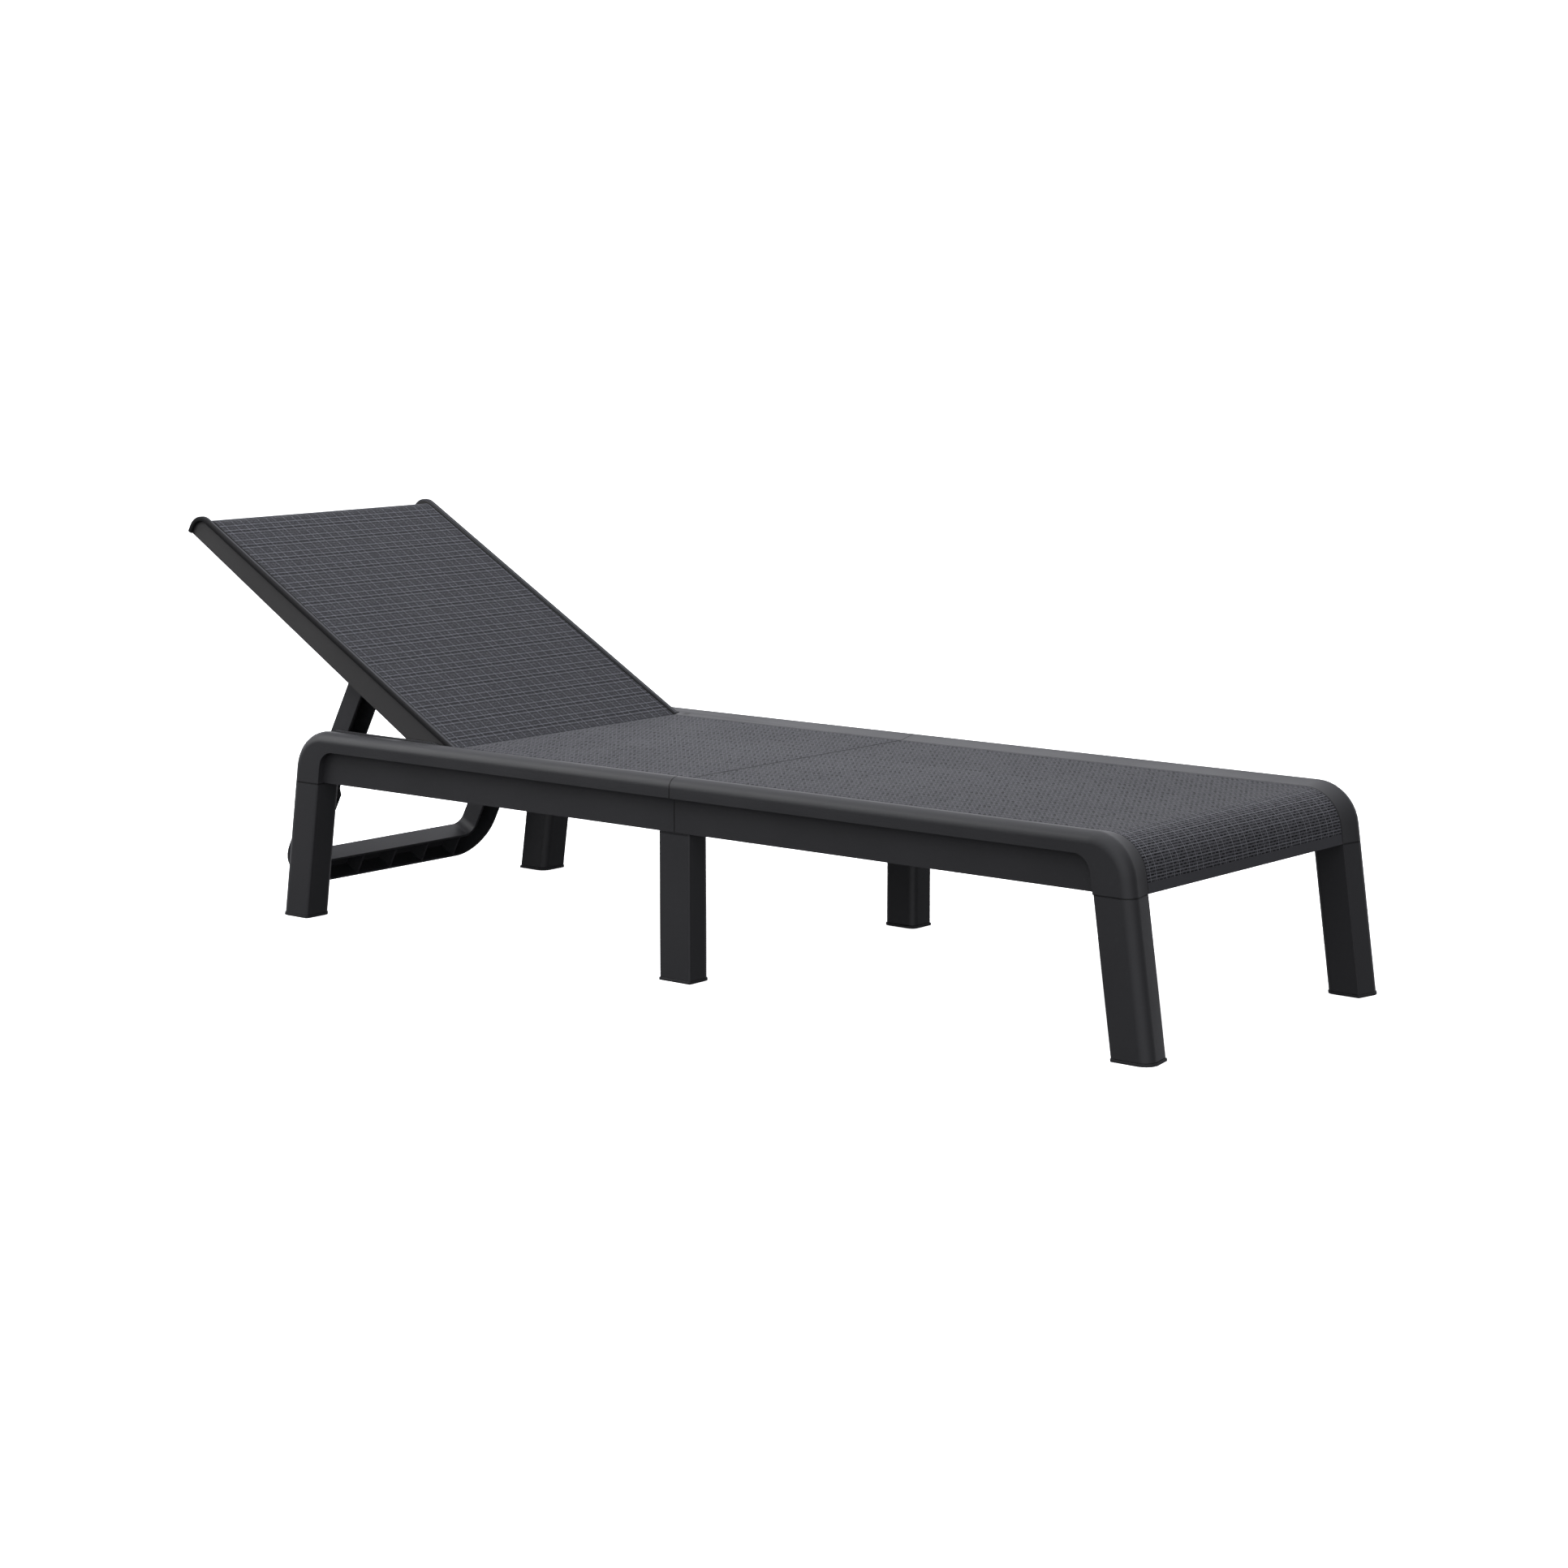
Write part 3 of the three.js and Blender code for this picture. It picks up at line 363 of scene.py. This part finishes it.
# The deck is embossed as a weave. Flat threads run across it with a row of slots between
# each two, strands along it bridge the slots in turn, and a few of both are plain light lines.
# On the level part slanting dents show as rows of dots.
thread_pitch = 0.00406
strand_pitch = 0.00453
thread_repeat = thread_pitch * 10
strand_repeat = strand_pitch * 12
slot_u = 0.00076
strand_v = 0.0016
light_threads = (0.0028, 0.0150, 0.0272)
light_strands = (strand_v, 0.0243, 0.0424)
deck_end = along_deck(0.9, 0.2248)
woven_graphite = (0.0640, 0.0645, 0.0695)

deck = Recipe("deck_weave").resin(woven_graphite, 0.62, 0.08)
sheet = deck.nodes.new("ShaderNodeUVMap")
sheet.uv_map = "sheet"
along, across, _ = deck.axes(sheet.outputs["UV"])
wander = deck.noise(45)
u = deck.math("MULTIPLY_ADD", wander, 0.0009, along)
v = deck.math("MULTIPLY_ADD", wander, 0.0024, across)
slot_number = deck.number(u, slot_u, thread_pitch)
strand_number = deck.number(v, strand_v, strand_pitch)
turn_about = deck.math("FLOORED_MODULO", deck.math("ADD", slot_number, strand_number), 2.0)
luck = deck.dice(slot_number, strand_number)
slot = deck.lines(u, thread_pitch, (slot_u,), 0.0007, 0.0005)
bridge = deck.lines(v, strand_pitch, (strand_v,), 0.0006, 0.0005)
bridge = deck.times(bridge, deck.ramp(turn_about, 0.4, 0.6, 1.0, 0.0), deck.ramp(luck, 0.1, 0.2))
light_strand = deck.lines(v, strand_repeat, light_strands, 0.0004, 0.0006)
light_thread = deck.lines(u, thread_repeat, light_threads, 0.0005, 0.0006)
hole = deck.times(slot, deck.less(deck.most(bridge, light_strand)), deck.ramp(luck, 0.0, 1.0, 0.7, 1.0))
on_top = deck.ramp(along, corner_x - 0.010, corner_x + 0.022, 1.0, 0.0)
side = deck.math("ABSOLUTE", across)
inside = deck.times(deck.ramp(side, deck_half_width - 0.0006, deck_half_width, 1.0, 0.0),
                    deck.ramp(along, deck_end - 0.001, deck_end, 1.0, 0.0))

# A dent is an oval that slants across the threads. Every second row is shallower, every
# fifth dent in a row is nearly flat, and between the dents the colour is painted lighter.
dent_pitch = thread_pitch * 2
dent_row = strand_repeat / 4
dent_u = 0.0040
dent_v = 0.0125
dent_cosine = 0.77
dent_sine = 0.64
dent_half_width = 0.0021
dent_half_length = 0.0062
dent_number = deck.number(u, dent_u, dent_pitch)
dent_row_number = deck.number(v, dent_v, dent_row)
beside = deck.math("WRAP", deck.math("SUBTRACT", u, dent_u), dent_pitch / 2, -dent_pitch / 2)
ahead = deck.math("WRAP", deck.math("SUBTRACT", v, dent_v), dent_row / 2, -dent_row / 2)
off_line = deck.math("ADD", deck.times(beside, dent_cosine / dent_half_width),
                     deck.times(ahead, dent_sine / dent_half_width))
down_line = deck.math("SUBTRACT", deck.times(beside, dent_sine / dent_half_length),
                      deck.times(ahead, dent_cosine / dent_half_length))
reach = deck.math("ADD", deck.math("POWER", off_line, 2.0), deck.math("POWER", down_line, 2.0))
lighter_between_dents = deck.times(deck.ramp(reach, 1.5, 4.0), on_top)
every_second = deck.math("FLOORED_MODULO", dent_row_number, 2.0)
every_fifth = deck.ramp(deck.math("FLOORED_MODULO", dent_number, 5.0), 3.4, 3.6, 1.0, 0.15)
luck = deck.ramp(deck.dice(dent_number, dent_row_number), 0.1, 0.8, 0.15, 1.0)
dent = deck.times(deck.ramp(reach, 0.4, 1.2, 1.0, 0.0), deck.math("MULTIPLY_ADD", every_second, -0.45, 1.0),
                  every_fifth, on_top, inside, luck)

hole = deck.times(hole, inside)
light = deck.times(deck.most(light_strand, deck.times(light_thread, 0.6)), inside,
                   deck.math("MULTIPLY_ADD", on_top, -0.75, 1.0))
# The seam and the groove beside the rim are painted shade on the deck too.
seam_shade = deck.line(deck.axes(deck.place)[0], seam_x, 0.0016, 0.0008)
groove_shade = deck.line(side, groove_y, 0.0006, 0.0007)
# The threads are painted lighter on the leaning foot end than on the level top, as painted light; both
# faces are the same resin.
thread_with_painted_light = deck.mix(on_top, shade(woven_graphite, 1.6), shade(woven_graphite, 1.29))
tint = deck.mix(inside, deck.tint, thread_with_painted_light)
tint = deck.mix(lighter_between_dents, tint, shade(woven_graphite, 1.7))
tint = deck.mix(light, tint, shade(woven_graphite, 2.7))
tint = deck.mix(hole, tint, shade(woven_graphite, 0.06))
tint = deck.mix(dent, tint, shade(woven_graphite, 0.3))
tint = deck.mix(deck.times(deck.most(groove_shade, seam_shade), 0.85), tint, shade(woven_graphite, 0.06))
height = deck.math("MULTIPLY_ADD", light, 0.4, deck.times(deck.most(hole, dent, groove_shade, seam_shade), -1.0))
height = deck.math("MULTIPLY_ADD", deck.grain, 0.06, height)
deck_resin = deck.finish(tint, height, 0.0006)

foot_half = moulding("foot_half", "foot_half_frame", "frame")
dress(foot_half, rim_resin, deck_resin, on_deck)
lay_sheet(foot_half, along_deck)
head_half = moulding("head_half", "head_half_frame", "frame")
dress(head_half, rim_resin, deck_resin, on_deck)
lay_sheet(head_half, lambda x, z: x)


# The six legs are hollow mouldings of the frame's resin, pushed up into its sockets and
# held by screws. A fine line of painted shade shows where each meets the frame.
leg = Recipe("leg_resin").resin((0.0340, 0.0343, 0.0362), 0.42, 0.4)
# The joint line is painted shade.
joint_shade = leg.line(leg.axes(leg.place)[2], joint_z, 0.0010, 0.0006)
tint = leg.mix(leg.times(joint_shade, 0.7), leg.tint, (0.004, 0.004, 0.0043))
leg_resin = leg.finish(tint, leg.grain, 0.00004)
for name in ("foot_leg_right", "foot_leg_left", "head_leg_right", "head_leg_left",
             "middle_leg_right", "middle_leg_left"):
    dress(moulding(f"{name}_moulding", name, "frame", 0.0008), leg_resin)

# Each leg stands on a cap of softer, matt black plastic. Its plug is pressed into the leg's
# open end, and a thin lip of it shows below the leg.
cap = Recipe("cap_resin").resin((0.026, 0.0262, 0.028), 0.6, 0.4)
cap_resin = cap.finish(cap.tint, cap.grain, 0.00006)
for name in ("foot_leg_cap_right", "foot_leg_cap_left", "head_leg_cap_right", "head_leg_cap_left",
             "middle_leg_cap_right", "middle_leg_cap_left"):
    dress(moulding(f"{name}_moulding", name, "frame", 0.0005), cap_resin)

# The backrest is one moulding of the same resin: two side rails and a panel between them
# that rolls over at the tip. It hangs on two pins between the frame's rails.
hinge_x = -0.346402
hinge_z = 0.2647
back_turn = math.radians(29.93)
rail_half_width = 0.2526
rail_tip = 0.653
rail_taper = 0.0064 / rail_tip
panel_tip = 0.645
tip_radius = 0.027
nose_radius = 0.0212


def along_backrest(x, z):
    dx = x - hinge_x
    dz = z - hinge_z
    reach = dz * math.sin(back_turn) - dx * math.cos(back_turn)
    rise = dx * math.sin(back_turn) + dz * math.cos(back_turn)
    bend = panel_tip - tip_radius
    if reach > bend:
        turn = math.atan2(reach - bend, rise - nose_radius + tip_radius)
        return bend + tip_radius * turn
    return reach


def on_panel(place, facing):
    reach = along_backrest(place.x, place.z)
    edge = rail_half_width - rail_taper * reach - 0.0085
    up = Vector((math.sin(back_turn), 0, math.cos(back_turn)))
    out = Vector((-math.cos(back_turn), 0, math.sin(back_turn)))
    flat = facing.dot(up) > 0.99 and (place - Vector((hinge_x, 0, hinge_z))).dot(up) > nose_radius - 0.0012
    rolled = reach > panel_tip - tip_radius and max(facing.dot(up), facing.dot(out)) > 0.5
    return abs(place.y) < edge and (flat or rolled)


# The rails are plain, with a thin line of painted shade in the groove where the panel begins.
side_graphite = (0.0400, 0.0393, 0.0392)
rail = Recipe("backrest_resin").resin(side_graphite, 0.45, 0.5)
sheet = rail.nodes.new("ShaderNodeUVMap")
sheet.uv_map = "sheet"
along, across, _ = rail.axes(sheet.outputs["UV"])
from_middle = rail.math("MULTIPLY_ADD", along, rail_taper, rail.math("ABSOLUTE", across))
# The line is painted shade in the groove.
panel_groove_shade = rail.line(from_middle, rail_half_width - 0.0075, 0.0018, 0.0004)
tint = rail.mix(panel_groove_shade, rail.tint, shade(side_graphite, 0.5))
rail_resin = rail.finish(tint, rail.grain, 0.00004)

# The panel's weave is bolder than the deck's. Light threads run across it, a single one
# and then a pair with a dark line inside, and light strands run along it in threes.
back_repeat = 0.04044
row_repeat = 0.05458
single_thread = (0.0028,)
paired_threads = (0.0225, 0.0308)
between_pair = (0.0266,)
upper_strands = (0.0173, 0.0355)
lower_strands = (0.0495,)
back_graphite = (0.0281, 0.0288, 0.0324)
back = Recipe("backrest_weave").resin(back_graphite, 0.6, 0.15)
sheet = back.nodes.new("ShaderNodeUVMap")
sheet.uv_map = "sheet"
along, across, _ = back.axes(sheet.outputs["UV"])
wander = back.noise(60)
lean_single = back.lines(across, row_repeat, (0.0152, 0.0334), 0.0004, 0.0030)
lean_pair = back.lines(across, row_repeat, (0.0472,), 0.0004, 0.0030)
u = back.math("MULTIPLY_ADD", wander, 0.0010, along)
u = back.math("MULTIPLY_ADD", back.noise(230), 0.0011, u)
v = back.math("MULTIPLY_ADD", wander, 0.0016, across)
v = back.math("MULTIPLY_ADD", back.noise(210), 0.0013, v)
u_single = back.math("MULTIPLY_ADD", lean_single, -0.0014, u)
u_pair = back.math("MULTIPLY_ADD", lean_pair, -0.0012, u)
single = back.lines(u_single, back_repeat, single_thread, 0.0004, 0.0009)
pair = back.lines(u_pair, back_repeat, paired_threads, 0.0004, 0.0009)
row_upper = back.lines(v, row_repeat, upper_strands, 0.0004, 0.0010)
row_lower = back.lines(v, row_repeat, lower_strands, 0.0004, 0.0010)
dash_upper = back.lines(u, back_repeat, (0.0125, 0.0367), 0.0012, 0.0016)
dash_lower = back.lines(u, back_repeat, (0.0093, 0.0162, 0.0367), 0.0009, 0.0014)
row = back.most(back.times(row_upper, back.math("MULTIPLY_ADD", dash_upper, 0.45, 0.55)),
                back.times(row_lower, back.math("MULTIPLY_ADD", dash_lower, 0.45, 0.55)))
row_line = back.lines(v, row_repeat, upper_strands + lower_strands, 0.0008, 0.0010)
knot = back.times(back.lines(u, back_repeat, single_thread + paired_threads, 0.0012, 0.0010), row_line)
faint = back.most(back.lines(u, back_repeat, (0.0092, 0.0158, 0.0366), 0.0002, 0.0008),
                  back.lines(v, row_repeat, (0.0030, 0.0100, 0.0262, 0.0425), 0.0002, 0.0008))
faint = back.times(faint, back.ramp(back.noise(260), 0.44, 0.56, 0.1, 0.6))
light = back.most(back.times(back.most(single, pair), 0.8), row, knot, faint)
light = back.times(light, back.ramp(back.noise(330), 0.40, 0.58, 0.65, 1.0))
between = back.lines(u_pair, back_repeat, between_pair, 0.0010, 0.0016)
flank = back.lines(u, back_repeat, (0.0072, 0.0182, 0.0350, 0.0388), 0.0006, 0.0020)
dark = back.times(back.most(between, back.times(flank, 0.5)),
                  back.math("MULTIPLY_ADD", row_line, -0.8, 1.0))
fine = back.times(back.lines(u, back_repeat / 10, (0.0009,), 0.0006, 0.0006),
                  back.less(back.lines(v, row_repeat / 12, (0.0016,), 0.0006, 0.0008)),
                  back.ramp(back.noise(300), 0.4, 0.55, 0.4, 1.0))
dark = back.times(back.most(dark, back.times(fine, 0.6)), back.less(light))
from_middle = back.math("MULTIPLY_ADD", along, rail_taper, back.math("ABSOLUTE", across))
inside = back.ramp(from_middle, rail_half_width - 0.0105, rail_half_width - 0.0095, 1.0, 0.0)
light = back.times(light, inside)
dark = back.times(dark, inside)
tint = back.mix(light, back.tint, shade(back_graphite, 4.3))
tint = back.mix(dark, tint, shade(back_graphite, 0.5))
height = back.math("MULTIPLY_ADD", back.grain, 0.06, back.math("SUBTRACT", light, dark))
back_resin = back.finish(tint, height, 0.0005)

backrest = moulding("backrest_moulding", "backrest", "backrest")
dress(backrest, rail_resin, back_resin, on_panel)
lay_sheet(backrest, along_backrest)

# A rolled edge, moulded in one with each rail, stands a little proud along its top and
# round the tip. A flat section is drawn out, turned round the tip, laid to the taper and
# tilted up. Its colour is painted light and shade: a painted highlight on its inner side
# and painted shade, darker, on its outer side.
edge = Recipe("rolled_edge_painted_highlight_and_shade").resin((0.0560, 0.0566, 0.0615), 0.6, 0.15)
sheet = edge.nodes.new("ShaderNodeUVMap")
sheet.uv_map = "sheet"
along, across, _ = edge.axes(sheet.outputs["UV"])
from_middle = edge.math("MULTIPLY_ADD", along, rail_taper, edge.math("ABSOLUTE", across))
# The lighter base colour is a painted highlight on the inner side; the outer side is painted shade.
outer_painted_shade = edge.ramp(from_middle, rail_half_width - 0.0022, rail_half_width + 0.0004)
edge_painted_light_and_shade = edge.finish(edge.mix(outer_painted_shade, edge.tint, (0.0125, 0.0125, 0.0130)), edge.grain, 0.00004)
edge_low = nose_radius - 0.0060
edge_high = nose_radius + 0.0022
edge_inner = rail_half_width - 0.0060
edge_outer = rail_half_width + 0.0018
edge_start = 0.004
edge_taper = 0.0045 / rail_tip


def rolled_edge(name, hand):
    bpy.ops.object.select_all(action="DESELECT")
    bpy.ops.mesh.primitive_plane_add(size=1, location=(0, 0, 0), rotation=(0, math.radians(90), 0))
    piece = bpy.context.object
    piece.name = name
    piece.scale = (edge_high - edge_low, edge_outer - edge_inner, 1)
    piece.location = (-edge_start, -(edge_inner + edge_outer) / 2, (edge_low + edge_high) / 2)
    bpy.ops.object.transform_apply(location=True, rotation=True, scale=True)
    bpy.ops.object.mode_set(mode="EDIT")
    bpy.ops.mesh.select_all(action="DESELECT")
    bpy.ops.object.mode_set(mode="OBJECT")
    for corner in piece.data.vertices:
        corner.select = corner.co.y < -rail_half_width
    bpy.ops.object.mode_set(mode="EDIT")
    bpy.ops.mesh.select_mode(type="VERT")
    bpy.ops.mesh.bevel(offset=0.0026, segments=4, affect="VERTICES")
    bpy.ops.mesh.select_all(action="SELECT")
    bpy.ops.mesh.extrude_region_move(
        TRANSFORM_OT_translate={"value": (-(rail_tip - tip_radius - edge_start), 0, 0)})
    bpy.ops.mesh.spin(steps=12, angle=math.radians(90), axis=(0, 1, 0),
                      center=(-(rail_tip - tip_radius), 0, nose_radius - tip_radius))
    bpy.ops.mesh.extrude_region_move(TRANSFORM_OT_translate={"value": (0, 0, -0.0100)})
    bpy.ops.mesh.select_all(action="SELECT")
    bpy.ops.mesh.remove_doubles(threshold=0.00001)
    bpy.ops.mesh.normals_make_consistent(inside=False)
    bpy.ops.object.mode_set(mode="OBJECT")
    piece.rotation_euler = (0, 0, -math.atan(edge_taper))
    bpy.ops.object.transform_apply(location=False, rotation=True, scale=False)
    if hand == "left":
        piece.scale = (1, -1, 1)
        bpy.ops.object.transform_apply(location=False, rotation=False, scale=True)
        bpy.ops.object.mode_set(mode="EDIT")
        bpy.ops.mesh.select_all(action="SELECT")
        bpy.ops.mesh.normals_make_consistent(inside=False)
        bpy.ops.object.mode_set(mode="OBJECT")
    piece.location = (hinge_x, 0, hinge_z)
    piece.rotation_euler = (0, back_turn, 0)
    bpy.ops.object.transform_apply(location=True, rotation=True, scale=False)
    bpy.ops.object.shade_smooth_by_angle(angle=math.radians(40))
    dress(piece, edge_painted_light_and_shade)
    lay_sheet(piece, along_backrest)
    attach(piece, "backrest")
    return piece


rolled_edge("rolled_edge_right", "right")
rolled_edge("rolled_edge_left", "left")

# The prop is a U-shaped moulding of channel section, ribbed inside its crossbar. Two pins
# hang it under the backrest, and a notch in each arm rests on the tube.
prop = Recipe("prop_resin").resin((0.0340, 0.0344, 0.0368), 0.42, 0.5)
prop_resin = prop.finish(prop.tint, prop.grain, 0.00004)
dress(moulding("prop_moulding", "backrest_prop", "prop"), prop_resin)

# The tube that the prop's notch rests on is drawn aluminium, left bare, with the fine
# lines of the die along it. It is held between the tenons of the two head legs.
tube = Recipe("tube_aluminium").resin((0.58, 0.58, 0.59), 0.32, 0.5)
tube.shader.inputs["Metallic"].default_value = 1
drawn = tube.nodes.new("ShaderNodeMapping")
drawn.inputs["Scale"].default_value = (1, 0.01, 1)
tube.links.new(tube.place, drawn.inputs["Vector"])
tube.links.new(drawn.outputs["Vector"], tube.grain.node.inputs["Vector"])
tube_aluminium = tube.finish(tube.tint, tube.grain, 0.00002)
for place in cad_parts["prop_rest_tube"].material_slots:
    place.material = tube_aluminium

# Hinge and pivot pins, the seam's bolts and nuts and the legs' screws are stainless steel,
# turned or pressed and left bright. They keep their CAD forms.
metal = Recipe("pin_steel").resin((0.45, 0.46, 0.48), 0.35, 0.5)
metal.shader.inputs["Metallic"].default_value = 1
pin_steel = metal.finish(metal.tint, metal.grain, 0.00002)
for name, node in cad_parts.items():
    if not node.hide_render and name != "prop_rest_tube":
        for place in node.material_slots:
            place.material = pin_steel
